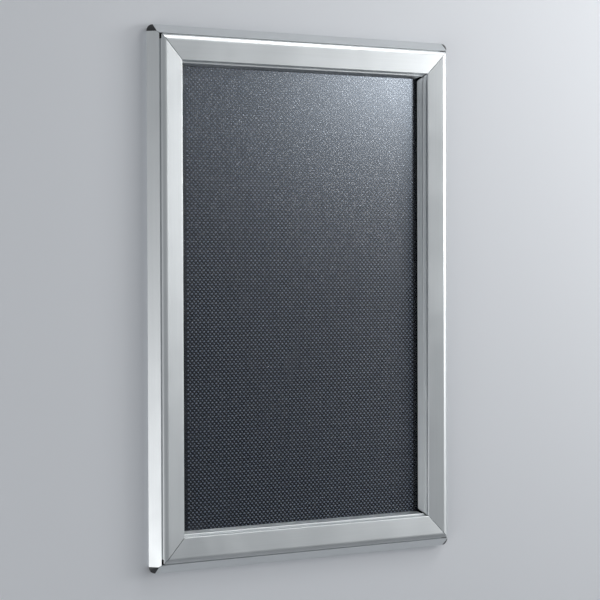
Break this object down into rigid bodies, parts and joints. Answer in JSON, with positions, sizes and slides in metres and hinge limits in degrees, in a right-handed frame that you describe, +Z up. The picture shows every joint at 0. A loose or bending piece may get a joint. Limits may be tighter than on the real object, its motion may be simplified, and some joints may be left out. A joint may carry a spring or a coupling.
{
  "type": "wall snap frame sign holder",
  "caption": "Portrait wall sign holder with mitred aluminium rails that hinge open, black rounded corners and a recessed embossed back panel.",
  "frame": {"origin": "centre of the frame on the wall plane, midway between the four wall holes", "axes": "+X right, +Z up, +Y into the wall, so the front faces -Y"},
  "size_m": [0.3488, 0.017, 0.5012],
  "materials": {
    "anodised_cover": "satin silver anodised extrusion",
    "anodised_base": "satin silver anodised extrusion",
    "spring_steel": "bright rolled spring steel",
    "zinc_screw": "zinc plated",
    "black_moulding": "satin black moulding",
    "embossed_black": "black polystyrene embossed with small raised dots",
    "clear_sheet": "clear anti-glare plastic sheet"
  },
  "bodies": {
    "base_frame": {"base_rail_bottom": "anodised_base", "base_rail_left": "anodised_base", "base_rail_top": "anodised_base", "base_rail_right": "anodised_base", "spring_clips_bottom": "spring_steel", "spring_clips_left": "spring_steel", "spring_clips_top": "spring_steel", "spring_clips_right": "spring_steel", "corner_piece_bottom_left": "black_moulding", "corner_piece_bottom_right": "black_moulding", "corner_piece_top_left": "black_moulding", "corner_piece_top_right": "black_moulding", "corner_screws_bottom_left": "zinc_screw", "corner_screws_bottom_right": "zinc_screw", "corner_screws_top_left": "zinc_screw", "corner_screws_top_right": "zinc_screw", "back_panel": "embossed_black", "cover_sheet": "clear_sheet"},
    "cover_bottom": {"cover_rail_bottom": "anodised_cover"},
    "cover_left": {"cover_rail_left": "anodised_cover"},
    "cover_top": {"cover_rail_top": "anodised_cover"},
    "cover_right": {"cover_rail_right": "anodised_cover"}
  },
  "joints": [
    {"name": "open_bottom", "type": "hinge", "parent": "base_frame", "child": "cover_bottom", "pos_m": [0, -0.01385, -0.23998], "axis": [1, 0, 0], "range_deg": [0, 75]},
    {"name": "open_left", "type": "hinge", "parent": "base_frame", "child": "cover_left", "pos_m": [-0.16378, -0.01385, 0], "axis": [0, 0, -1], "range_deg": [0, 75]},
    {"name": "open_top", "type": "hinge", "parent": "base_frame", "child": "cover_top", "pos_m": [0, -0.01385, 0.23998], "axis": [-1, 0, 0], "range_deg": [0, 75]},
    {"name": "open_right", "type": "hinge", "parent": "base_frame", "child": "cover_right", "pos_m": [0.16378, -0.01385, 0], "axis": [0, 0, 1], "range_deg": [0, 75]}
  ]
}
